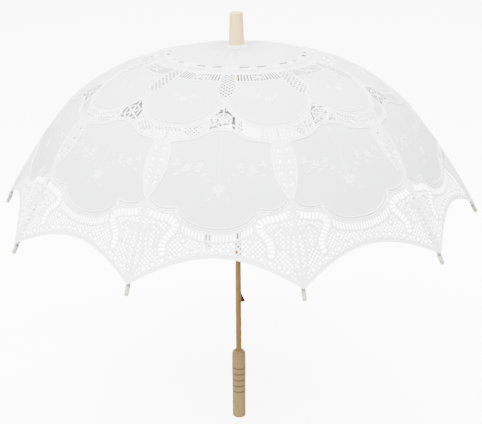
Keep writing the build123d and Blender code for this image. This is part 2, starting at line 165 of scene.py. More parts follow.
class Graph:
    """The nodes of one material."""

    def __init__(self, name: str) -> None:
        """Start a material with its Principled shader.

        Args:
            name: The material's name.
        """
        self.material = bpy.data.materials.new(name)
        self.material.use_nodes = True
        self.tree = self.material.node_tree
        self.shader = self.tree.nodes["Principled BSDF"]

    def node(self, kind: str, settings: dict | None = None, inputs: dict | None = None) -> bpy.types.Node:
        """Add a node.

        Args:
            kind: The node's type.
            settings: Its own properties, which are set first.
            inputs: The values or links of its sockets, by name or place.

        Returns:
            The node.
        """
        made = self.tree.nodes.new(kind)
        for name, value in (settings or {}).items():
            setattr(made, name, value)
        for place, value in (inputs or {}).items():
            self.feed(made.inputs[place], value)
        return made

    def feed(self, socket: bpy.types.NodeSocket, value: object) -> None:
        """Link a value to a socket, or set it there.

        Args:
            socket: The socket.
            value: A value worked out by nodes, another node's socket, or a plain number or colour.
        """
        if isinstance(value, Amount):
            self.tree.links.new(value.socket, socket)
        elif isinstance(value, bpy.types.NodeSocket):
            self.tree.links.new(value, socket)
        else:
            socket.default_value = value

    def set(self, **values: object) -> None:
        """Feed the shader's sockets, whose spaces are written as underscores."""
        for name, value in values.items():
            self.feed(self.shader.inputs[name.replace("_", " ")], value)

    def place(self, scale: tuple[float, float, float] = (1, 1, 1)) -> bpy.types.NodeSocket:
        """The point on the piece, in metres, stretched along the three axes."""
        point = self.node("ShaderNodeTexCoord").outputs["Object"]
        return self.node("ShaderNodeVectorMath", {"operation": "MULTIPLY"}, {0: point, 1: scale}).outputs[0]

    def height(self, point: bpy.types.NodeSocket) -> Amount:
        """How high a point is."""
        return Amount(self, self.node("ShaderNodeSeparateXYZ", None, {0: point}).outputs[2])

    def noise(
        self, point: bpy.types.NodeSocket, scale: float, detail: float = 4, rough: float = 0.55
    ) -> Amount:
        """Soft random mottling between 0 and 1.

        Args:
            point: Where the mottling is read.
            scale: Lumps in one unit of the point.
            detail: Finer layers of it.
            rough: Strength of the finer layers.

        Returns:
            The mottling.
        """
        inputs = {"Vector": point, "Scale": scale, "Detail": detail, "Roughness": rough}
        return Amount(self, self.node("ShaderNodeTexNoise", None, inputs).outputs[0])

    def spread(self, value: Amount, low: float, high: float) -> Amount:
        """The value stretched so that low is 0 and high is 1."""
        inputs = {"Value": value, "From Min": low, "From Max": high}
        return Amount(self, self.node("ShaderNodeMapRange", {"clamp": True}, inputs).outputs[0])

    def mix(self, share: Amount, first: object, second: object) -> bpy.types.NodeSocket:
        """A colour between two others."""
        return self.node("ShaderNodeMix", {"data_type": "RGBA"}, {0: share, 6: first, 7: second}).outputs[2]

    def bump(self, height: Amount, depth: float, strength: float = 1.0) -> None:
        """Raise the surface by a height, in metres."""
        inputs = {"Height": height, "Distance": depth, "Strength": strength}
        self.set(Normal=self.node("ShaderNodeBump", None, inputs).outputs[0])


@dataclass(frozen=True)
class Wood:
    """Turned wood with its grain along the shaft."""

    name: str
    light: Colour
    dark: Colour
    across: float = 520.0
    along: float = 16.0
    sheen: float = 0.25
    gloss: float = 0.45
    contrast: float = 0.2
    # the grooves listed here get painted shade: the wood's colour is darkened along them
    grooves: tuple[float, float, int] = (0.0, 1.0, 0)  # height of the highest, step down, and count

    def make(self) -> bpy.types.Material:
        """Lay out streaked grain, pores, painted shade in the grooves and a thin varnish.

        Returns:
            The material.
        """
        graph = Graph(self.name)
        point = graph.place((self.across, self.across, self.along))
        streaks = graph.noise(point, 1.0, 5, 0.6)
        bands = graph.noise(graph.place((60, 60, 5)), 1.0, 2, 0.5)
        pores = graph.noise(graph.place((1900, 1900, 120)), 1.0, 2, 0.6)
        grain = graph.spread(streaks * 0.6 + bands * 0.4, 0.5 - self.contrast, 0.5 + self.contrast)
        pits = graph.spread(pores, 0.62, 0.72)
        toned = graph.mix(grain, self.dark, self.light)
        toned = graph.mix(pits * 0.45, toned, self.dark)
        # painted shade: bands of a darker copy of the wood's own dark tone at each turned groove stand in
        # for the shade inside it
        top, step, count = self.grooves
        if count:
            below = top - graph.height(point=graph.place())
            away = abs((below + step / 2) % step - step / 2)
            middle = (count - 1) * step / 2
            within = graph.spread(abs(below - middle), middle + step / 2, middle + step / 3)
            groove_shade = graph.spread(away, 0.0021, 0.0007) * within
            toned = graph.mix(groove_shade * 0.85, toned, [share * 0.45 for share in self.dark[:3]] + [1.0])
        graph.set(
            Base_Color=toned,
            Roughness=0.34 + grain * 0.08 + pits * (1 - self.gloss) * 0.25,
            Coat_Weight=self.sheen,
            Coat_Roughness=0.3,
        )
        graph.bump(grain * 0.5 - pits, 0.00012, 0.5)
        return graph.material


@dataclass(frozen=True)
class Cotton:
    """White cotton cloth, tape or cord."""

    name: str
    light: Colour
    shade: Colour
    weave: float = 1500.0
    depth: float = 0.00018
    rough: float = 0.85

    def make(self) -> bpy.types.Material:
        """Lay out a fine weave, faint unevenness and a soft nap.

        Returns:
            The material.
        """
        graph = Graph(self.name)
        point = graph.place()
        threads = graph.noise(point, self.weave, 2, 0.7)
        slubs = graph.noise(graph.place((260, 260, 900)), 1.0, 3, 0.6)
        clouds = graph.noise(point, 22, 3, 0.5)
        uneven = graph.spread(clouds * 0.5 + slubs * 0.3 + threads * 0.2, 0.3, 0.7)
        graph.set(
            Base_Color=graph.mix(uneven, self.shade, self.light),
            Roughness=self.rough + threads * 0.1,
            Sheen_Weight=0.25,
            Sheen_Roughness=0.4,
        )
        graph.bump(threads * 0.7 + slubs * 0.3, self.depth, 0.6)
        return graph.material


@dataclass(frozen=True)
class Metal:
    """Drawn or plated metal."""

    name: str
    bright: Colour
    dull: Colour
    rough: float = 0.32
    bare: float = 0.95  # how metallic the surface is, where 0 is paint

    def make(self) -> bpy.types.Material:
        """Lay out worn metal with faint tarnish and scratches.

        Returns:
            The material.
        """
        graph = Graph(self.name)
        point = graph.place()
        tarnish = graph.spread(graph.noise(point, 90, 4, 0.6), 0.35, 0.7)
        scratches = graph.noise(graph.place((900, 900, 120)), 1.0, 3, 0.7)
        graph.set(
            Base_Color=graph.mix(tarnish, self.bright, self.dull),
            Metallic=self.bare - tarnish * 0.25 * self.bare,
            Roughness=self.rough + tarnish * 0.18 + scratches * 0.1,
        )
        graph.bump(scratches, 0.00004, 0.5)
        return graph.material


@dataclass(frozen=True)
class Cap:
    """Cream rib cap with a grey band where the thread is wound."""

    name: str
    cream: Colour
    grey: Colour
    end: tuple[float, float] = (0.37506, 0.40340)  # radius and height of a rib's end
    slope: float = 60.7
    band: float = 0.0062

    def make(self) -> bpy.types.Material:
        """Tone the cap by how far down it a point is.

        Returns:
            The material.
        """
        graph = Graph(self.name)
        point = graph.place()
        height = graph.height(point)
        level = graph.node("ShaderNodeVectorMath", {"operation": "MULTIPLY"}, {0: point, 1: (1, 1, 0)})
        length = graph.node("ShaderNodeVectorMath", {"operation": "LENGTH"}, {0: level.outputs[0]})
        radius = Amount(graph, length.outputs[1])
        fall = radians(self.slope)
        down = (radius - self.end[0]) * cos(fall) - (height - self.end[1]) * sin(fall)
        body = graph.spread(down, self.band, self.band + 0.0009)
        wear = graph.spread(graph.noise(point, 260, 3, 0.6), 0.4, 0.75)
        cream = graph.mix(wear * 0.35, self.cream, self.grey)
        graph.set(
            Base_Color=graph.mix(body, self.grey, cream),
            Roughness=0.3 + wear * 0.25,
            Metallic=(1 - body) * 0.55,
            Coat_Weight=0.3,
        )
        graph.bump(wear, 0.00005, 0.4)
        return graph.material


@dataclass(frozen=True)
class Floor:
    """Plain pale floor or backdrop, lit like a studio's white sweep."""

    name: str
    tone: Colour
    other: Colour
    glow: float = 8.0

    def make(self) -> bpy.types.Material:
        """Lay out a matt, very faintly uneven surface that is lit from within.

        Returns:
            The material.
        """
        graph = Graph(self.name)
        clouds = graph.noise(graph.place(), 0.8, 2, 0.5)
        graph.set(
            Base_Color=graph.mix(clouds, self.tone, self.other),
            Roughness=0.9 + clouds * 0.05,
            Emission_Color=(1, 1, 1, 1),
            Emission_Strength=self.glow,
        )
        return graph.material


def finishes() -> Finishes:
    """Make every material.

    Returns:
        The materials, by slot or by kind of lace work.
    """
    makers = {
        Slot.SHAFT: Wood("golden_shaft_wood", paint(152, 114, 38), paint(108, 73, 20)),
        Slot.HANDLE: Wood(
            "turned_handle_wood",
            paint(168, 138, 80),
            paint(118, 88, 42),
            contrast=0.26,
            grooves=(0.0955, 0.0112, 5),
        ),
        Slot.FERRULE: Wood("pale_ferrule_wood", paint(216, 192, 126), paint(184, 156, 88), contrast=0.3),
        Slot.WIRE: Metal("rib_wire", paint(214, 214, 212), paint(176, 177, 178), 0.5, 0.25),
        Slot.FITTING: Metal("plated_fitting", paint(196, 192, 182), paint(140, 134, 122), 0.28),
        Slot.PIN: Metal("pin_steel", paint(170, 170, 172), paint(120, 118, 116), 0.25),
        Slot.CATCH: Metal("catch_wire", paint(84, 76, 68), paint(40, 35, 32), 0.38),
        Slot.TIP: Cap("cream_rib_cap", paint(178, 172, 154), paint(88, 86, 84)),
        Slot.LACE: Cotton("cotton_cloth", paint(219, 220, 221), paint(209, 210, 212)),
        Slot.RIBBON: Cotton(
            "gathered_ribbon", paint(226, 226, 223), paint(212, 212, 209), 1100.0, 0.0002
        ),
        Dressing.TAPE: Cotton(
            "lace_tape", paint(244, 244, 244), paint(233, 233, 234), 1300.0, 0.0002
        ),
        Dressing.CORD: Cotton(
            "white_cord", paint(251, 251, 251), paint(243, 243, 243), 1800.0, 0.00012, 0.8
        ),
    }
    return {use: maker.make() for use, maker in makers.items()}


# ---- shaping -----------------------------------------------------------------------
def solid_mesh(
    name: str,
    points: np.ndarray,
    faces: list[np.ndarray],
    materials: list[bpy.types.Material],
    slot: Slot,
    which: list[int] | None = None,
) -> bpy.types.Object:
    """slot: Not used. The material slot that the finishes belong to.
        which: The finish of each block of faces.

    Returns:
        The piece.
    """
    mesh = bpy.data.meshes.new(name)
    mesh.vertices.add(len(points))
    mesh.vertices.foreach_set("co", (points * MM).astype(np.float32).ravel())
    corners = np.concatenate([block.ravel() for block in faces])
    sizes = np.concatenate([np.full(len(block), block.shape[1]) for block in faces])
    mesh.loops.add(len(corners))
    mesh.loops.foreach_set("vertex_index", corners.astype(np.int32))
    mesh.polygons.add(len(sizes))
    starts = np.concatenate([[0], np.cumsum(sizes)[:-1]])
    mesh.polygons.foreach_set("loop_start", starts.astype(np.int32))
    for material in materials:
        mesh.materials.append(material)
    if which:
        chosen = np.concatenate([np.full(len(block), use) for block, use in zip(faces, which)])
        mesh.polygons.foreach_set("material_index", chosen.astype(np.int32))
    mesh.update(calc_edges=True)
    mesh.validate()
    mesh.shade_smooth()
    piece = bpy.data.objects.new(name, mesh)
    bpy.context.scene.collection.objects.link(piece)
    return piece


def joined(parts: list[tuple[np.ndarray, list[np.ndarray]]]) -> tuple[np.ndarray, list[np.ndarray]]:
    """Put several meshes into one.

    Args:
        parts: The points and faces of each.

    Returns:
        The points and faces of the whole.
    """
    points, faces, first = [], [], 0
    for part_points, part_faces in parts:
        points.append(part_points)
        faces += [block + first for block in part_faces]
        first += len(part_points)
    return np.concatenate(points), faces


def smooth(line: list[tuple[float, float]], steps: int = 8) -> Line:
    """Round off a line.

    Args:
        line: The points that it passes through.
        steps: Runs between one point and the next.

    Returns:
        The rounded line, in short runs.
    """
    knots = np.array(line, float)
    knots = np.vstack([2 * knots[0] - knots[1], knots, 2 * knots[-1] - knots[-2]])
    share = np.linspace(0, 1, steps, endpoint=False)[:, None]
    runs = []
    for before, start, end, after in zip(knots[:-3], knots[1:-2], knots[2:-1], knots[3:]):
        bend = 2 * before - 5 * start + 4 * end - after
        swing = -before + 3 * start - 3 * end + after
        runs.append(0.5 * (2 * start + (end - before) * share + bend * share**2 + swing * share**3))
    return np.vstack([*runs, knots[-2]])


def beyond(line: Line, column: int, limit: float) -> list[Line]:
    """Keep the stretches of a line where one coordinate is at or above a limit.

    Args:
        line: The line.
        column: Which coordinate.
        limit: The limit.

    Returns:
        The stretches, each with at least two points.
    """
    value = line[:, column] - limit
    runs, run = [], []
    for place, point in enumerate(line):
        if place and value[place] * value[place - 1] < 0:
            share = value[place - 1] / (value[place - 1] - value[place])
            run.append(line[place - 1] + share * (point - line[place - 1]))
            if value[place] < 0:
                runs.append(run)
                run = []
        if value[place] >= 0:
            run.append(point)
    runs.append(run)
    return [np.array(each) for each in runs if len(each) > 1]


def tube(
    middle: np.ndarray, side: np.ndarray, up: np.ndarray, radius: float, sides: int = 6
) -> tuple[np.ndarray, list[np.ndarray]]:
    """A round thread along a line.

    Args:
        middle: Points of the line.
        side: Direction across it at each point.
        up: The other direction across it.
        radius: The thread's radius.
        sides: Corners of its section.

    Returns:
        Its points and faces.
    """
    turns = [2 * pi * step / sides for step in range(sides)]
    points = np.stack([middle + radius * (side * cos(turn) + up * sin(turn)) for turn in turns], 1)
    rows = np.arange(len(middle) - 1)[:, None] * sides
    here, after = np.arange(sides), (np.arange(sides) + 1) % sides
    quads = np.stack([rows + here, rows + after, rows + after + sides, rows + here + sides], -1)
    ends = np.array([here[::-1], here + (len(middle) - 1) * sides])
    return points.reshape(-1, 3), [quads.reshape(-1, 4), ends]


def quad_grid(rows: int, columns: int, closed: bool = False) -> np.ndarray:
    """Faces between the points of a grid.

    Args:
        rows: Its rows.
        columns: Its columns.
        closed: Whether the last column joins the first.

    Returns:
        The faces.
    """
    grid = np.arange(rows * columns).reshape(rows, columns)
    here, after = (grid, np.roll(grid, -1, axis=1)) if closed else (grid[:, :-1], grid[:, 1:])
    return np.stack([here[:-1], after[:-1], after[1:], here[1:]], -1).reshape(-1, 4)


def mirrored(line: Line) -> Line:
    """The line on the other side of the panel's middle."""
    return line * np.array([-1, 1])


@dataclass(frozen=True)
class Form:
    """The canopy's surface: three arcs down each rib, drawn in a little between the ribs."""

    pivot_radius: float = 11.0
    crown_height: float = 645.5
    arcs: tuple[tuple[float, float], ...] = ((500.0, 19.5), (230.0, 32.0), (1050.0, 9.2))
    cloth: float = 3.6  # from a rib's centre line out to the cloth
    joint: float = 217.6  # distance down the rib to the stretcher joint
    slack: tuple[tuple[float, ...], tuple[float, ...]] = (
        (0.0, 60.0, 150.0, 250.0, 340.0, 430.0),
        (0.6, 0.6, 0.5, 0.45, 0.5, 0.75),
    )

    def meridian(self, along: np.ndarray) -> tuple[np.ndarray, np.ndarray, np.ndarray]:
        """Follow a rib.

        Args:
            along: Distances down the rib.

        Returns:
            Radius, height and slope in radians of the rib's centre line.
        """
        radius = np.full(np.shape(along), self.pivot_radius) + np.minimum(along, 0)
        height = np.full(np.shape(along), self.crown_height)
        slope = np.zeros(np.shape(along))
        start, passed = 0.0, 0.0
        for arc, turn in self.arcs:
            turned = np.clip((along - passed) / arc, 0, radians(turn))
            radius = radius + arc * (np.sin(start + turned) - sin(start))
            height = height - arc * (cos(start) - np.cos(start + turned))
            slope = slope + turned
            start += radians(turn)
            passed += arc * radians(turn)
        over = np.maximum(along - passed, 0)
        return radius + over * cos(start), height - over * sin(start), slope

    def width(self, along: np.ndarray) -> np.ndarray:
        """Millimetres round the canopy in one degree, at a distance down the rib."""
        return np.maximum(self.meridian(along)[0], 1.0) * radians(1)

    def place(self, azimuth: float, turn: np.ndarray, along: np.ndarray, lift: np.ndarray) -> np.ndarray:
        """Points on the canopy.

        Args:
            azimuth: The rib's azimuth in degrees.
            turn: Degrees from the rib, up to half a panel either way.
            along: Distances down the rib.
            lift: Heights above the middle of the cloth.

        Returns:
            The points, in mm.
        """
        radius, height, slope = self.meridian(along)
        middle = 1 - ((HALF_BAY - np.abs(turn)) / HALF_BAY) ** 2
        drawn = np.interp(along, *self.slack) * middle * (1 - cos(radians(HALF_BAY)))
        around = np.radians(azimuth + turn)
        ripple = 0.35 * np.sin(9 * around + along * 0.021) * np.sin(21 * around - along * 0.013)
        gather = np.sin(40 * around + 2 * np.sin(5 * around + 0.02 * along)) + 0.5 * np.sin(73 * around)
        fade = np.exp(-np.maximum(along - 45, 0) / 22) * np.clip((along - 5) / 14, 0, 1)
        pleat = 2.0 * fade * (gather + 0.8)
        away = self.cloth + lift + middle * ripple + np.sqrt(middle) * pleat
        radius = radius * (1 - drawn) + away * np.sin(slope)
        height = height + away * np.cos(slope)
        return np.stack([radius * np.sin(around), -radius * np.cos(around), height], -1)


# ---- the lace ----------------------------------------------------------------------
@dataclass(frozen=True)
class Draft:
    """The lace pattern of one panel, drawn from its middle to the rib.

    Angles run from 0 at the panel's middle to 18 degrees at the rib, and lengths in mm down the rib.
    """

    form: Form = field(default_factory=Form)
    net_step: float = 4.7
    net_bar: float = 1.9
    diagonal: float = 1.414  # a slanting mesh's diagonal in its sides
    crown_hem: float = 93.0
    slot_middle: float = 96.5  # the row of slots round the crown
    slot_end: float = 100.0
    band_start: float = 117.5
    band_middle: float = 130.0  # the ladder with its flowers
    band_end: float = 142.5
    post_side: float = 13.0  # angle where the open ring's posts begin
    leaf_side: float = 4.9  # angle where its leaf-shaped openings end beside the star
    inset_top: float = 262.0  # the pointed inset on the rib
    border_top: float = 352.0
    drop_side: float = 8.6  # angle where the border's drops end beside the ladder
    hem_corner: float = 472.0
    hem_rise: float = 40.0
    hem_tape: float = 6.0
    star: tuple[float, float] = (0.0, 230.5)

    @property
    def medallion(self) -> Line:
        """Outline of the rounded upper cloth on a rib.

        It laps over its neighbour past the middle.

        Returns:
            The line.
        """
        lower = [(18, 240.5), (14.4, 240.5), (11.4, 238.5), (8.4, 232.5), (6.0, 225.5), (3.2, 212.5)]
        upper = [(-2.0, 187.5), (-3.9, 174), (-4.6, 158), (-4.6, 142), (-4.1, 126), (-2.6, 112), (0.0, 102)]
        return smooth([*lower, (0.6, 198.5), *upper])

    @property
    def petal_top(self) -> Line:
        """Scalloped upper edge of the bell-shaped lower cloth."""
        start = [(0, 248), (2.2, 248.6), (4.4, 252.4), (6.4, 258.4)]
        return smooth([*start, (8.8, 263.6), (11.4, 265.8), (13.6, 267), (15.4, 270)])

    @property
    def petal_side(self) -> Line:
        """Hollow side of the lower cloth, beside the rib."""
        return smooth([(15.4, 270), (14.6, 287), (14.6, 305), (15.1, 321), (16.2, 337), (17.5, 352)])

    @property
    def petal_shoulder(self) -> Line:
        """Small scallop at the lower corner of the cloth."""
        return smooth([(17.5, 352), (16.5, 360), (14.8, 365.4), (12.5, 367.8), (10.3, 367)])

    @property
    def petal_lobe(self) -> Line:
        """Large scallop at the bottom of the cloth, from its step to the middle."""
        start = [(10.0, 361.5), (9.5, 369.5), (8.6, 377.5), (6.8, 386)]
        return smooth([*start, (4.4, 391.8), (2.0, 394.4), (0, 395)])

    @property
    def petal(self) -> Line:
        """The whole outline of the lower cloth, from its top middle to its bottom middle."""
        return np.vstack([self.petal_top, self.petal_side, self.petal_shoulder, self.petal_lobe])

    @property
    def channel(self) -> Line:
        """Middle of the ladder that runs round the corner scallop and down to the hem."""
        around = [(18, 369.5), (15.6, 373.5), (13.6, 376.4), (11.6, 378.6), (10.0, 384.5)]
        return smooth([*around, (10.0, 393), (11.0, 401), (11.8, 409), (12.2, 417), (12.0, 426)])

    @property
    def arch(self) -> Line:
        """Tape that arches between the ladder and the rib."""
        up = [(13.5, 416), (13.0, 404), (13.0, 394.5)]
        return smooth([*up, (14.5, 388), (16.1, 392.5), (16.5, 402), (16.4, 416)])

    @property
    def inner_arch(self) -> Line:
        """Narrow tape inside the arch, doubled back on itself."""
        up = [(14.2, 420), (14.0, 408), (14.1, 398)]
        return smooth([*up, (14.9, 394.5), (15.6, 399), (15.6, 410), (15.3, 421)])

    @property
    def spine(self) -> Line:
        """Tape that closes in on the rib towards the corner of the hem."""
        return smooth([(18, 384), (17.0, 398), (16.3, 418), (16.5, 437), (17.2, 454), (17.7, 466)])

    @property
    def swag(self) -> Line:
        """Tape that hangs below the large scallop."""
        return smooth([(0, 410.5), (2.6, 409.6), (5.2, 406.4), (7.4, 401.5), (8.9, 395)])

    def hem(self, angle: np.ndarray | float) -> np.ndarray:
        """Distance down the rib of the hem's edge."""
        rise = 1 - (np.asarray(angle) / HALF_BAY) ** 2
        return self.hem_corner - self.hem_rise * rise

    def hem_line(self, inset: float) -> Line:
        """A line along the hem, set in from its edge."""
        angle = np.linspace(0, HALF_BAY, 60)
        return np.stack([angle, self.hem(angle) - inset], 1)

    def aside(self, line: Line, shift: float) -> Line:
        """A line beside another one.

        Args:
            line: The first line.
            shift: Distance in mm to its left when it is walked with the angle growing rightwards.

        Returns:
            The second line.
        """
        width = self.form.width(line[:, 1])
        flat = np.stack([line[:, 0] * width, line[:, 1]], 1)
        way = np.gradient(flat, axis=0)
        way /= np.maximum(np.linalg.norm(way, axis=1), 1e-6)[:, None]
        flat = flat + shift * np.stack([way[:, 1], -way[:, 0]], 1)
        return np.stack([flat[:, 0] / width, flat[:, 1]], 1)

    def nearest(self, angle: np.ndarray, along: np.ndarray, line: Line) -> tuple[np.ndarray, np.ndarray]:
        """Find the nearest point of a line.

        Args:
            angle: Angles of the points to start from.
            along: Distances down the rib of those points.
            line: The line.

        Returns:
            Distance in mm to the line, and how far along the line its nearest point is.
        """
        width = self.form.width(along)
        flat = np.stack([line[:, 0] * self.form.width(line[:, 1]), line[:, 1]], 1)
        lengths = np.concatenate([[0], np.cumsum(np.linalg.norm(np.diff(flat, axis=0), axis=1))])
        least = np.full(np.shape(angle), FAR)
        walked = np.zeros(np.shape(angle))
        for place, (start, end) in enumerate(zip(line[:-1], line[1:])):
            side, down = (end[0] - start[0]) * width, end[1] - start[1]
            from_side, from_down = (angle - start[0]) * width, along - start[1]
            share = np.clip((from_side * side + from_down * down) / (side**2 + down**2 + NEAR), 0, 1)
            distance = (from_side - share * side) ** 2 + (from_down - share * down) ** 2
            here = lengths[place] + share * (lengths[place + 1] - lengths[place])
            walked = np.where(distance < least, here, walked)
            least = np.minimum(least, distance)
        return np.sqrt(least), walked

    def gap(self, angle: np.ndarray, along: np.ndarray, line: Line) -> np.ndarray:
        """Distance in mm from points to a line."""
        return self.nearest(angle, along, line)[0]

    def inside(
        self, angle: np.ndarray, along: np.ndarray, line: Line, *closing: tuple[float, float]
    ) -> np.ndarray:
        """Draw a shape that is bounded by a line.

        Args:
            angle: Angles of the points.
            along: Distances down the rib of the points.
            line: The line.
            closing: Corners that close the shape, well clear of the points.

        Returns:
            Distance in mm to the line, below 0 within the shape.
        """
        corners = np.vstack([line, np.array(closing, float)])
        within = np.zeros(np.shape(angle), bool)
        for start, end in zip(corners, np.roll(corners, -1, axis=0)):
            spans = (start[1] > along) != (end[1] > along)
            reach = (end[0] - start[0]) * (along - start[1]) / (end[1] - start[1] + TINY) + start[0]
            within ^= spans & (angle < reach)
        distance = self.gap(angle, along, line)
        return np.where(within, -distance, distance)

    def rungs(self, value: np.ndarray, step: float, thick: float) -> np.ndarray:
        """Field of bars that stand at every step of a value; thick is their half width."""
        return np.abs((value / step) % 1 - 0.5) * step - thick

    def net(self, angle: np.ndarray, along: np.ndarray, step: float, bar: float) -> np.ndarray:
        """Draw a slanting net.

        Args:
            angle: Angles of the points.
            along: Distances down the rib of the points.
            step: From one bar to the next, in mm.
            bar: Width of a bar.

        Returns:
            The field, below 0 on the bars.
        """
        across = angle * self.form.width(along)
        slants = [(across + along) / self.diagonal, (across - along) / self.diagonal]
        bars = [np.abs((slant / step) % 1 - 0.5) * step for slant in slants]
        return np.minimum(*bars) - bar / 2

    def flower(
        self, angle: np.ndarray, along: np.ndarray, centre: tuple[float, float], reach: float
    ) -> np.ndarray:
        """Draw a six-petalled flower with an open eye.

        Args:
            angle: Angles of the points.
            along: Distances down the rib of the points.
            centre: The flower's middle.
            reach: Length of its petals in mm.

        Returns:
            The field, below 0 on the flower.
        """
        across = (angle - centre[0]) * self.form.width(along)
        down = along - centre[1]
        size = np.hypot(across, down)
        turned = np.arctan2(across, down)
        edge = reach * (0.62 + 0.38 * np.cos(6 * turned))
        return np.maximum((size - edge) * 0.7, 1.1 - size)

    def fields(self, angle: np.ndarray, along: np.ndarray) -> tuple[np.ndarray, np.ndarray]:
        """Draw the panel.

        Args:
            angle: Angles of the points from the panel's middle.
            along: Distances down the rib.

        Returns:
            Two fields: one is below 0 where there is plain cloth, the other where there is tape or thread.
        """
        own = self.inside(angle, along, self.medallion, (19, 102), (19, 240.5))
        other = self.inside(-angle, along, self.medallion, (19, 102), (19, 240.5))
        petal = self.inside(angle, along, self.petal, (-1, 395), (-1, 248))
        hem = along - self.hem(angle)
        upper = np.maximum.reduce([own, -other, self.band_end - along])
        ring = np.maximum(self.slot_end + 5 - along, along - self.band_start + 3)
        cloth = np.minimum.reduce([along - self.crown_hem, ring, upper, petal])
        lace = np.minimum.reduce(
            [
                self.crown_work(angle, along, own, other),
                self.middle_work(angle, along, own, other, petal),
                self.rib_work(angle, along, petal),
                self.border_work(angle, along, petal),
                np.abs(hem + self.hem_tape / 2) - self.hem_tape / 2,
            ]
        )
        return np.maximum(cloth, hem), np.maximum(lace, hem)

    def crown_work(
        self, angle: np.ndarray, along: np.ndarray, own: np.ndarray, other: np.ndarray
    ) -> np.ndarray:
        """Field of the slotted ring and ladder round the crown, and of the lenses between the medallions.

        Args:
            angle: Angles of the points.
            along: Distances down the rib.
            own: Distances to this rib's medallion.
            other: Distances to the next rib's medallion.

        Returns:
            The field.
        """
        width = self.form.width(along)
        slotted = np.maximum(np.abs(along - self.slot_middle) - 4.2, (4.0 - np.abs(angle - 11)) * width)
        slotted = np.minimum(slotted, np.abs(along - self.slot_end - 3) - 2.6)
        slotted = np.minimum(slotted, np.abs(along - self.band_start) - 3.0)
        rungs = np.maximum((self.rungs(angle, 1.9, 0) * width - 1.0), np.abs(along - self.band_middle) - 13)
        flower = self.flower(angle, along, (HALF_BAY, self.band_middle), 10.0)
        gapped = np.maximum(rungs, 8.5 - np.hypot((angle - HALF_BAY) * width, along - self.band_middle))
        ladder = np.maximum(np.minimum(gapped, flower), np.maximum(own, -other))
        lower_edge = np.maximum(np.abs(along - self.band_end) - 2.0, np.maximum(own, -other))
        lens = np.maximum(np.maximum(own, other), self.net(angle, along, 5.6, 1.7))
        outline = np.maximum(np.minimum(np.abs(own), np.abs(other)) - 1.5, self.band_start - 4 - along)
        return np.minimum.reduce([slotted, ladder, lower_edge, lens, outline])

    def middle_work(
        self, angle: np.ndarray, along: np.ndarray, own: np.ndarray, other: np.ndarray, petal: np.ndarray
    ) -> np.ndarray:
        """Field of the open ring between the two tiers: posts, leaf-shaped openings and a star.

        Args:
            angle: Angles of the points.
            along: Distances down the rib.
            own: Distances to this rib's medallion.
            other: Distances to the next rib's medallion.
            petal: Distances to the lower cloth.

        Returns:
            The field.
        """
        width = self.form.width(along)
        nearer = np.minimum(own, other)
        under = np.maximum(np.abs(nearer - 3.6) - 1.5, 160 - along)
        above = np.maximum(np.abs(petal - 3.6) - 1.5, along - 285)
        posts = np.maximum(self.rungs(angle, 1.25, 0) * width - 1.1, (13.2 - angle) * width)
        sides = np.minimum(np.abs(angle - self.post_side), np.abs(angle - self.leaf_side)) * width - 2.6
        star = self.flower(angle, along, self.star, 9.5)
        turned = np.arctan2(angle * width, along - self.star[1])
        size = np.hypot(angle * width, along - self.star[1])
        spokes = np.maximum(size * np.abs(np.sin(3 * turned)) / 3 - 0.9, (angle - self.leaf_side) * width)
        rim = np.maximum(np.abs(size - 12.0) - 1.0, (angle - self.leaf_side) * width)
        netting = np.maximum(self.net(angle, along, 4.2, 1.5), (self.leaf_side - angle) * width)
        filling = np.minimum.reduce([posts, sides, star, spokes, rim, netting])
        open_ring = np.maximum.reduce([-own, -other, -petal, 185 - along, along - 275])
        edge = np.minimum(np.maximum(np.abs(nearer) - 1.2, self.band_end - along), np.abs(petal) - 1.2)
        pins = np.maximum(self.rungs(angle, 1.6, 0) * width - 0.6, np.minimum(nearer, petal) - 3)
        inner = np.maximum(np.minimum.reduce([filling, pins, under, above]), open_ring)
        return np.minimum(inner, edge)

    def rib_work(self, angle: np.ndarray, along: np.ndarray, petal: np.ndarray) -> np.ndarray:
        """Field of the pointed lace inset that runs down each rib between the lower cloths.

        Args:
            angle: Angles of the points.
            along: Distances down the rib.
            petal: Distances to the lower cloth.

        Returns:
            The field.
        """
        tape = np.abs(petal - 3.4) - 1.3
        pins = np.maximum(self.net(angle, along, 5.2, 0.7), petal - 3)
        inset = np.maximum(self.net(angle, along, 4.6, 1.5), 3.2 - petal)
        down_rib = (HALF_BAY - angle) * self.form.width(along) - 1.7
        eyes = self.flower(angle, (along - self.inset_top) % 17, (HALF_BAY, 8.5), 6.5)
        whole = np.minimum.reduce([tape, pins, inset, np.maximum(eyes, 5 - petal), down_rib])
        return np.maximum.reduce([whole, -petal, self.inset_top - along, along - self.border_top - 10])

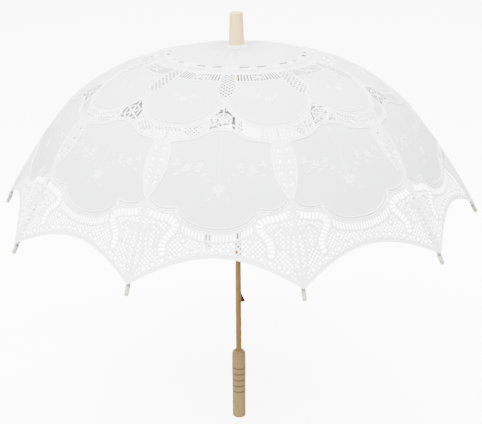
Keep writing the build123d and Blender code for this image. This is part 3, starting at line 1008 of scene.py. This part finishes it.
    def border_work(self, angle: np.ndarray, along: np.ndarray, petal: np.ndarray) -> np.ndarray:
        """Field of the wide border: ladder, arches, swags, drops and worked rings over a close net.

        Args:
            angle: Angles of the points.
            along: Distances down the rib.
            petal: Distances to the lower cloth.

        Returns:
            The field.
        """
        width = self.form.width(along)
        channel, steps = self.nearest(angle, along, self.channel)
        under = 411 - 0.16 * angle**2  # where the drops end, along the swag
        tapes = [
            np.maximum(np.abs(petal - 3.6) - 1.5, -petal),
            np.abs(channel - 6.2) - 1.6,
            self.gap(angle, along, self.swag) - 1.7,
            self.gap(angle, along, self.spine) - 1.9,
            self.gap(angle, along, self.arch) - 2.0,
            self.gap(angle, along, self.inner_arch) - 1.2,
            (HALF_BAY - angle) * width - 2.0,
        ]
        rungs = np.maximum(self.rungs(steps, 5.6, 1.0), channel - 6)
        above = np.maximum(along - under, (angle - self.drop_side) * width)
        drops = np.maximum(self.rungs(angle, 0.8, 0) * width - 1.3, above)
        pins = np.maximum(self.rungs(angle, 1.0, 0) * width - 0.6, petal - 3)
        net = self.net(angle, along, self.net_step, self.net_bar)
        plain = np.maximum.reduce([net, 6.2 - channel, 4.6 - petal])
        plain = np.maximum(plain, np.minimum(under - along, (self.drop_side - angle) * width))
        plain = np.maximum(plain, self.ring_holes(angle, along))
        whole = np.minimum.reduce([*tapes, rungs, drops, pins, plain, self.rings(angle, along)])
        return np.maximum.reduce([whole, -petal, self.border_top - along])

    def ring_sizes(self, angle: np.ndarray, along: np.ndarray) -> list[tuple[np.ndarray, float]]:
        """Measure points from the middle of each worked ring.

        Args:
            angle: Angles of the points.
            along: Distances down the rib.

        Returns:
            For each ring, the points' distances in mm and the ring's radius.
        """
        width = self.form.width(along)
        return [
            (np.hypot((angle - middle[0]) * width, along - middle[1]), reach)
            for middle, reach in self.ring_places()
        ]

    def rings(self, angle: np.ndarray, along: np.ndarray) -> np.ndarray:
        """Field of the small worked rings that fill the border."""
        sizes = self.ring_sizes(angle, along)
        return np.minimum.reduce([np.maximum(size - reach, reach - 2.2 - size) for size, reach in sizes])

    def ring_holes(self, angle: np.ndarray, along: np.ndarray) -> np.ndarray:
        """Field that is above 0 inside the worked rings, where there is no net."""
        return np.maximum.reduce([reach - 1.0 - size for size, reach in self.ring_sizes(angle, along)])

    def ring_places(self) -> list[tuple[tuple[float, float], float]]:
        """Middles and radii of the worked rings."""
        row = [((0.9 + 1.8 * step, float(self.hem(0.9 + 1.8 * step)) - 11.5), 4.6) for step in range(9)]
        return row + [((7.6, 409.0), 4.4), ((16.9, 372.0), 3.6), ((9.0, 402.0), 3.4), ((16.6, 388.0), 3.0)]

    def cords(self) -> list[tuple[Line, float]]:
        """Lay out the raised cords.

        Returns:
            Each one's line and radius, all on the panel's side of its middle.
        """
        lines = [(self.petal_top, 0.95), (self.petal_side, 0.95), (self.petal_shoulder, 0.95)]
        lines += [(self.petal_lobe, 0.95), (self.medallion, 0.95)]
        lines += [(self.aside(self.petal_shoulder, -3.8), 0.9)]
        lines += [(self.aside(self.petal_lobe[6:], -3.8), 0.9)]
        lines += [(self.aside(self.petal_top, 3.8), 0.8), (self.aside(self.petal_side, 3.5)[4:-4], 0.8)]
        lines += [(self.aside(self.medallion[:60], -3.8), 0.9), (self.inner_arch, 0.7)]
        lines += [(self.aside(self.channel, 6.2), 0.7), (self.aside(self.channel, -6.2)[5:], 0.7)]
        lines += [(self.arch, 0.8), (self.spine, 0.7), (self.swag, 0.7)]
        lines += [(self.hem_line(0.6), 0.8), (self.hem_line(self.hem_tape - 0.4), 0.6)]
        turn = np.linspace(0, HALF_BAY, 25)
        for level in (self.crown_hem, self.slot_end, self.band_start, self.band_start - 3.5):
            lines.append((np.stack([turn, np.full(25, level)], 1), 0.7))
        lines.append((np.stack([np.linspace(4.4, HALF_BAY, 18), np.full(18, self.band_end)], 1), 0.8))
        found = []
        for line, radius in lines:
            found += [(run, radius) for run in beyond(line, 0, 0.0)]
            found += [(run, radius) for run in beyond(mirrored(line), 0, 1e-6)]
        return found

    def blossom(
        self, angle: float, along: float, petals: int, reach: float, wide: float, twist: float = 0.0
    ) -> list[tuple[float, float, float, float, float]]:
        """Satin stitches that stand round a point.

        Args:
            angle: The point's angle.
            along: Its distance down the rib.
            petals: How many stitches.
            reach: Length of each in mm.
            wide: Width of each in mm.
            twist: Direction of the first in degrees.

        Returns:
            The stitches, as in stitches().
        """
        width = float(self.form.width(np.array(along)))
        found = []
        for way in (twist + 360 * place / petals for place in range(petals)):
            across, down = reach * 0.6 * sin(radians(way)), reach * 0.6 * cos(radians(way))
            found.append((angle + across / width, along + down, way, reach, wide))
        return found

    def stitches(self) -> list[tuple[float, float, float, float, float]]:
        """Lay out the raised embroidery.

        Returns:
            Each satin stitch's angle, distance down the rib, direction in degrees, length and width.
        """
        found = self.blossom(0.0, 337.0, 6, 9.0, 5.0) + self.blossom(0.0, 337.0, 6, 4.2, 2.6, 30.0)
        found += [(0.0, 256.0 + 9.6 * step, 0.0, 10.4, 1.6) for step in range(8)]
        for angle, along, petals in ((8.9, 306.0, 5), (5.6, 303.0, 4), (12.0, 300.0, 3)):
            found += self.blossom(angle, along, petals, 5.6, 3.6, 17.0 * petals)
        for leaf in range(5):
            odd = leaf % 2
            found.append((4.2 + 1.9 * leaf, 316.0 - 5.0 * odd, 58.0 + 30 * odd, 8.5, 2.8))
        found += [(2.4, 351.0, 62.0, 7.5, 2.8), (2.6, 324.0, 120.0, 7.0, 2.8)]
        found += self.blossom(HALF_BAY, 190.0, 5, 6.0, 3.8) + self.blossom(14.2, 182.0, 3, 5.4, 3.2, 40.0)
        return found


@dataclass
class Panel:
    """One of the ten panels on a rib: cloth and lace above the stretcher joint, and below it."""

    number: int
    draft: Draft
    materials: Finishes
    keep: tuple[float, float] = (0.16, 0.075)  # not used; share of their width when closed: above the joint, below
    lap: float = 5.0  # how far the lower length reaches up under the upper one

    @property
    def azimuth(self) -> float:
        """Azimuth of the panel's rib in degrees."""
        return RIB_STEP * (self.number - 0.5)

    def span(self, tier: Tier) -> tuple[float, float]:
        """Where a length of the panel starts and ends, down the rib."""
        joint = self.draft.form.joint
        return (-1.4, joint) if tier is Tier.UPPER else (joint - self.lap, self.draft.hem_corner)

    def set_up(
        self,
        name: str,
        tier: Tier,
        points: np.ndarray,
        faces: list[np.ndarray],
        finish: list[bpy.types.Material],
        which: list[int] | None = None,
    ) -> bpy.types.Object:
        """Make a piece of the panel that folds with its rib.

        Args:
            name: The piece's name.
            tier: Which length of the panel it belongs to.
            points: Its vertices in mm.
            faces: Its faces.
            finish: Its materials.
            which: The material of each block of faces.

        Returns:
            The piece, on its body.
        """
        piece = solid_mesh(name, points, faces, finish, Slot.LACE, which)
        body = f"rib_{self.number}" if tier is Tier.UPPER else f"rib_{self.number}_end"
        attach(piece, body)
        around = radians(self.azimuth)
        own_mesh(piece)
        return piece

    def build(self, weave: "Weave") -> None:
        """Build both lengths of the panel with their cords.

        Args:
            weave: The cloth and cords to lay.
        """
        form = self.draft.form
        for tier in Tier:
            turn, along, lift, faces, which = weave.cloth[tier]
            points = form.place(self.azimuth, turn, along, lift)
            finish = [self.materials[use] for use in (Slot.LACE, Dressing.TAPE, Dressing.CORD)]
            sheet = self.set_up(f"canopy_{tier.value}_{self.number}", tier, points, faces, finish, which)
            cords = joined([self.cord(line, radius) for line, radius in weave.cords[tier]])
            white = [self.materials[Dressing.CORD]]
            trim = self.set_up(f"cords_{tier.value}_{self.number}", tier, *cords, white)
            start, end = self.span(tier)
            wide = 2 * HALF_BAY * float(form.width(np.array(end))) * MM
            cut = weave.area[tier] * MM * MM
            long = (end - start) * MM
            if tier is Tier.LOWER:
                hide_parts(f"canopy_gore_{self.number}")

    def cord(self, line: Line, radius: float) -> tuple[np.ndarray, list[np.ndarray]]:
        """A round cord laid on the panel.

        Args:
            line: Rows of (degrees from the rib, distance down the rib).
            radius: The cord's radius in mm.

        Returns:
            The cord's points and faces.
        """
        form = self.draft.form
        seat = np.full(len(line), 0.45)
        middle = form.place(self.azimuth, line[:, 0], line[:, 1], seat)
        up = form.place(self.azimuth, line[:, 0], line[:, 1], seat + 1) - middle
        up /= np.linalg.norm(up, axis=1)[:, None]
        way = np.gradient(middle, axis=0)
        way /= np.maximum(np.linalg.norm(way, axis=1), NEAR)[:, None]
        return tube(middle, np.cross(way, up), up, radius)


@dataclass
class Weave:
    """The cloth and cords of one panel, worked out once and laid on every rib."""

    draft: Draft
    step: float = 1.15
    cloth: dict[Tier, tuple] = field(default_factory=dict)
    cords: dict[Tier, list[tuple[Line, float]]] = field(default_factory=dict)
    area: dict[Tier, float] = field(default_factory=dict)

    def work(self) -> "Weave":
        """Cut both lengths of the panel and sort its cords onto them.

        Returns:
            The weave itself.
        """
        for tier in Tier:
            start, end = Panel(1, self.draft, {}).span(tier)
            self.cloth[tier] = self.cut(start, end, tier)
            self.cords[tier] = self.sort(tier)
        return self

    def sort(self, tier: Tier) -> list[tuple[Line, float]]:
        """Pick out the cords of one length of the panel, on both sides of its rib.

        Args:
            tier: Which length.

        Returns:
            Each cord's line and radius.
        """
        joint = self.draft.form.joint
        found = []
        for line, radius in self.draft.cords():
            if tier is Tier.UPPER:
                flipped = line * np.array([1, -1])
                runs = [run * np.array([1, -1]) for run in beyond(flipped, 1, -joint)]
            else:
                runs = beyond(line, 1, joint)
            for run in runs:
                run = run[run[:, 0] < HALF_BAY + 0.01]
                if len(run) > 1:
                    turn = HALF_BAY - run[:, 0]
                    found.append((np.stack([turn, run[:, 1]], 1), radius))
                    found.append((np.stack([-turn, run[:, 1]], 1), radius))
        return found

    def cut(self, start: float, end: float, tier: Tier) -> tuple:
        """Cut the cloth of one length of the panel.

        Args:
            start: Where it starts down the rib.
            end: Where it ends.
            tier: Which length it is.

        Returns:
            Degrees from the rib, distances down it, heights, and faces.
        """
        form = self.draft.form
        widest = HALF_BAY * float(form.width(np.array(end)))
        columns = np.linspace(0, HALF_BAY, int(widest / self.step) + 1)
        rows = np.linspace(start, end, int((end - start) / self.step) + 1)
        angle, along = np.meshgrid(columns, rows)
        cloth, lace = self.draft.fields(angle, along)
        tucked = 0.3 * (along < form.joint - 0.01) if tier is Tier.LOWER else 0.0
        self.area[tier] = self.flat_area(tier)
        parts, which = [], []
        stitched = self.embroidery(angle, along)
        for use, level, height in (
            (0, cloth, 0.0 * along),
            (1, lace, 0.25 + 0.45 * np.clip(-lace / 0.8, 0, 1)),
            (2, 0.08 - stitched, 0.1 + stitched),
        ):
            if not (level < 0).any():
                continue
            turn, down, lift, faces = self.trace(HALF_BAY - angle, along, height - tucked, level)
            for side in (1, -1):
                flipped = [block[:, ::side] for block in faces]
                parts.append((np.stack([side * turn, down, lift], 1), flipped))
                which += [use] * len(faces)
        points, faces = joined(parts)
        return (*points.T, faces, which)

    def flat_area(self, tier: Tier) -> float:
        """Measure one length of the panel, with its openings counted as cloth.

        Args:
            tier: Which length.

        Returns:
            Its area in square mm.
        """
        start, end = Panel(1, self.draft, {}).span(tier)
        angle, along = np.meshgrid(np.linspace(0, HALF_BAY, 181), np.arange(start, end, 0.5))
        inside = along < self.draft.hem(angle)
        return float(2 * (inside * self.draft.form.width(along) * (HALF_BAY / 180) * 0.5).sum())

    def embroidery(self, angle: np.ndarray, along: np.ndarray) -> np.ndarray:
        """Raise the satin stitches on the cloth.

        Args:
            angle: Angles of the points.
            along: Distances down the rib.

        Returns:
            Their height at each point.
        """
        width = self.draft.form.width(along)
        raised = np.zeros(np.shape(angle))
        for centre, down, way, length, wide in self.draft.stitches():
            across, below = (angle - centre) * width, along - down
            lengthwise = across * sin(radians(way)) + below * cos(radians(way))
            sidewise = across * cos(radians(way)) - below * sin(radians(way))
            reach = (lengthwise / (length / 2)) ** 2 + (sidewise / (wide / 2)) ** 2
            raised = np.maximum(raised, 0.7 * np.sqrt(np.clip(1 - reach, 0, 1)))
        return raised

    def trace(self, *grids: np.ndarray) -> tuple:
        """Keep the part of a grid where its last value is below 0, with clean edges.

        Args:
            grids: Turn, distance, height and field over the grid.

        Returns:
            Turn, distance and height of each kept point, and the faces.
        """
        values = np.stack(grids, -1)
        level = values[..., 3]
        rows, columns = level.shape
        inside = level < 0
        corner = np.arange(rows * columns).reshape(rows, columns)
        points = [values.reshape(-1, 4)]
        crossings = []
        for first, second in ((np.s_[:, :-1], np.s_[:, 1:]), (np.s_[:-1, :], np.s_[1:, :])):
            crossed = inside[first] != inside[second]
            start, end = values[first][crossed], values[second][crossed]
            share = (start[:, 3] / (start[:, 3] - end[:, 3]))[:, None]
            number = np.zeros(crossed.shape, int)
            number[crossed] = np.arange(crossed.sum()) + sum(len(block) for block in points)
            points.append(start + share * (end - start))
            crossings.append(number)
        level_edge, upright_edge = crossings
        corners = [corner[:-1, :-1], corner[:-1, 1:], corner[1:, 1:], corner[1:, :-1]]
        edges = [level_edge[:-1], upright_edge[:, 1:], level_edge[1:], upright_edge[:, :-1]]
        kept = [inside[:-1, :-1], inside[:-1, 1:], inside[1:, 1:], inside[1:, :-1]]
        case = sum(kept[place].astype(int) << place for place in range(4))
        faces = []
        for kind in range(1, 16):
            here = case == kind
            around = []
            for place in range(4):
                on, after = kind >> place & 1, kind >> ((place + 1) % 4) & 1
                if on:
                    around.append(corners[place][here])
                if on != after:
                    around.append(edges[place][here])
            if here.any():
                faces.append(np.stack(around, 1))
        everything = np.concatenate(points)
        used = np.unique(np.concatenate([block.ravel() for block in faces]))
        renumber = np.zeros(len(everything), int)
        renumber[used] = np.arange(len(used))
        turn, down, lift = everything[used, :3].T
        return turn, down, lift, [renumber[block] for block in faces]


@dataclass
class Canopy:
    """The ten panels."""

    draft: Draft = field(default_factory=Draft)

    def build(self, materials: Finishes) -> None:
        """Lay the lace on every rib.

        Args:
            materials: The finishes.
        """
        weave = Weave(self.draft).work()
        for number in range(1, RIB_COUNT + 1):
            Panel(number, self.draft, materials).build(weave)
            log.info("canopy panel %d", number)


@dataclass
class Rosette:
    """Gathered ribbon round the foot of the ferrule."""

    inside: float = 12.75
    reach: float = 5.1
    base: float = 650.0
    height: float = 5.1
    gathers: int = 26

    def build(self, material: bpy.types.Material) -> None:
        """Shape the ring with its gathers and stand it on the crown.

        Args:
            material: The ribbon's finish.
        """
        around = np.linspace(0, 2 * pi, self.gathers * 12, endpoint=False)
        rise = np.linspace(0, 1, 13)
        turn, up = np.meshgrid(around, rise)
        fold = 0.5 + 0.5 * np.sin(self.gathers * turn + 0.8 * np.sin(3 * turn))
        swell = 1 - 0.3 * fold * np.sin(pi * np.clip(up * 1.1, 0, 1))
        radius = self.inside + self.reach * np.cos(up * pi / 2) * swell
        height = self.base + self.height * np.sin(up * pi / 2) * (1 - 0.16 * fold)
        points = np.stack([radius * np.sin(turn), -radius * np.cos(turn), height], -1).reshape(-1, 3)
        faces = [quad_grid(*turn.shape, closed=True)]
        piece = solid_mesh("crown_ruffle", points, faces, [material], Slot.RIBBON)
        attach(piece, "shaft_body")
        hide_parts("crown_rosette")
        log.info("crown ruffle")


@dataclass
class ClosingStrap:
    """Narrow strap inside the hem that ties the closed canopy."""

    form: Form = field(default_factory=Form)
    azimuth: float = -2.0
    top: float = 387.0
    length: float = 32.0
    width: float = 8.4

    def build(self, materials: Finishes) -> None:
        """Shape the strap and hang it under the front seam.

        Args:
            materials: The finishes.
        """
        turn = self.azimuth + HALF_BAY
        down = np.linspace(0, self.length, 40)
        across = np.linspace(-self.width / 2, self.width / 2, 9)
        side, along = np.meshgrid(across, self.top + down)
        degrees_out = turn + side / self.form.width(along)
        sway = 0.12 * np.sin(along * 0.5) + 0.06 * np.cos(side * 1.6)
        lift = np.full(side.shape, -3.6) + sway + 0.3 * (np.abs(side) > self.width / 2 - 1.2)
        points = self.form.place(-HALF_BAY, degrees_out, along, lift).reshape(-1, 3)
        faces = [quad_grid(*side.shape)]
        strap = solid_mesh("closing_strap", points, faces, [materials[Slot.RIBBON]], Slot.RIBBON)
        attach(strap, "rib_10_end")
        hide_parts("tie_strap")
        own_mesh(strap)
        log.info("closing strap")


# ---- parts of the frame ------------------------------------------------------------
@dataclass
class Frame:
    """The made parts that keep their own shapes: wood, wire, fittings and caps."""

    whole: dict[str, Slot] = field(
        default_factory=lambda: {
            "shaft": Slot.SHAFT,
            "handle": Slot.HANDLE,
            "ferrule": Slot.FERRULE,
            "shaft_pins": Slot.PIN,
            "crown_notch": Slot.FITTING,
            "runner": Slot.FITTING,
            "catch_lower": Slot.CATCH,
            "catch_upper": Slot.CATCH,
        }
    )
    each_rib: dict[str, Slot] = field(
        default_factory=lambda: {
            "rib_inner": Slot.WIRE,
            "rib_outer": Slot.WIRE,
            "stretcher": Slot.WIRE,
            "tip": Slot.TIP,
        }
    )

    def dress(self, materials: Finishes) -> None:
        """Give every part its finish.

        Args:
            materials: The finishes.
        """
        parts = dict(self.whole)
        for name, slot in self.each_rib.items():
            parts.update({f"{name}_{number}": slot for number in range(1, RIB_COUNT + 1)})
        for name, slot in parts.items():
            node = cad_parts[name]
            node.data.materials.clear()
            node.data.materials.append(materials[slot])
        log.info("%d frame parts", len(parts))


@dataclass
class TipPockets:
    """Thread wound round each rib's end, where the hem's corner is tied to the cap."""

    end: tuple[float, float] = (375.06, 403.40)
    slope: float = 60.7
    turns: int = 5
    thread: float = 0.45
    radius: float = 2.55

    def build(self, material: bpy.types.Material) -> None:
        """Wind the thread on every cap's neck.

        Args:
            material: The thread's finish.
        """
        for number in range(1, RIB_COUNT + 1):
            around = radians(RIB_STEP * (number - 0.5))
            out = np.array([sin(around), -cos(around), 0.0])
            side = np.array([cos(around), sin(around), 0.0])
            fall = radians(self.slope)
            along = out * cos(fall) - np.array([0, 0, 1.0]) * sin(fall)
            up = np.cross(along, side)
            start = out * self.end[0] + np.array([0, 0, self.end[1]])
            steps = np.linspace(0, 2 * pi * self.turns, self.turns * 18)
            away = np.cos(steps)[:, None] * side + np.sin(steps)[:, None] * up
            middle = start + away * self.radius + along * (0.6 + steps * 0.8 / (2 * pi))[:, None]
            thread = tube(middle, away, along, self.thread)
            piece = solid_mesh(f"tip_thread_{number}", *thread, [material], Slot.LACE)
            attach(piece, f"rib_{number}_end")
        log.info("tip threads")


@dataclass
class Studio:
    """Floor, light and camera."""

    target: tuple[float, float, float] = (0.0, 0.0, 0.385)
    distance: float = 1.802
    azimuth: float = 4.89
    elevation: float = 19.4
    roll: float = 0.42
    lens: float = 82.26
    shift: tuple[float, float] = (0.0068, -0.0091)
    room: float = 15.0  # radius of the white dome

    def backdrop(self) -> None:
        """Lay the floor under the handle and put the white dome round it, both overlit and shadowless."""
        white = Floor("pale_floor", paint(250, 250, 250), paint(246, 246, 246)).make()
        bpy.ops.mesh.primitive_plane_add(size=2 * self.room, location=(0, 0, -0.0002))
        bpy.context.object.name = "studio_floor"
        bpy.ops.mesh.primitive_uv_sphere_add(segments=96, ring_count=48, radius=self.room)
        bpy.context.object.name = "studio_dome"
        for name in ("studio_floor", "studio_dome"):
            shell = bpy.data.objects[name]
            shell.data.materials.append(white)
            shell.visible_diffuse = shell.visible_glossy = shell.visible_shadow = False

    def lights(self) -> None:
        """Set four broad lamps and light the room."""
        for name, place, size, power in (
            ("left_softbox", (-1.1, -1.4, 2.9), 1.2, 300),
            ("right_softbox", (1.3, -1.0, 2.9), 1.2, 215),
            ("top_softbox", (0.0, 0.7, 3.1), 1.4, 120),
            ("front_softbox", (-1.5, -1.9, 0.15), 0.9, 42),
        ):
            lamp = bpy.data.lights.new(name, "AREA")
            lamp.size, lamp.energy = size, power
            hung = bpy.data.objects.new(name, lamp)
            hung.location = place
            hung.rotation_mode = "QUATERNION"
            hung.rotation_quaternion = (Vector((0, 0, 0.45)) - Vector(place)).to_track_quat("-Z", "Y")
            bpy.context.scene.collection.objects.link(hung)
        world = bpy.data.worlds.new("studio_room")
        world.use_nodes = True
        ground = world.node_tree.nodes["Background"]
        ground.inputs["Color"].default_value = (1, 1, 1, 1)
        ground.inputs["Strength"].default_value = 1.3
        bpy.context.scene.world = world

    def camera(self) -> None:
        """Stand the camera a little above the canopy's hem."""
        around, rise, lean = radians(self.azimuth), radians(self.elevation), radians(self.roll)
        back = Vector((sin(around) * cos(rise), -cos(around) * cos(rise), sin(rise)))
        right = Vector((cos(around), sin(around), 0))
        up = back.cross(right)
        turned_right = right * cos(lean) - up * sin(lean)
        turned_up = up * cos(lean) + right * sin(lean)
        data = bpy.data.cameras.new("camera")
        data.lens, data.sensor_width = self.lens, 36.0
        data.shift_x, data.shift_y = self.shift
        camera = bpy.data.objects.new("camera", data)
        turn = Matrix((turned_right, turned_up, back)).transposed().to_4x4()
        camera.matrix_world = Matrix.Translation(Vector(self.target) + back * self.distance) @ turn
        bpy.context.scene.collection.objects.link(camera)
        bpy.context.scene.camera = camera

    def set_up(self) -> None:
        """Set the whole studio."""
        self.backdrop()
        self.lights()
        self.camera()
        log.info("studio")


def main() -> None:
    """Dress the frame, lay the canopy and set the studio."""
    logging.basicConfig(level=logging.INFO, format="%(message)s")
    materials = finishes()
    Frame().dress(materials)
    Canopy().build(materials)
    Rosette().build(materials[Slot.RIBBON])
    ClosingStrap().build(materials)
    TipPockets().build(materials[Dressing.CORD])
    Studio().set_up()


if __name__ == "__main__":
    main()
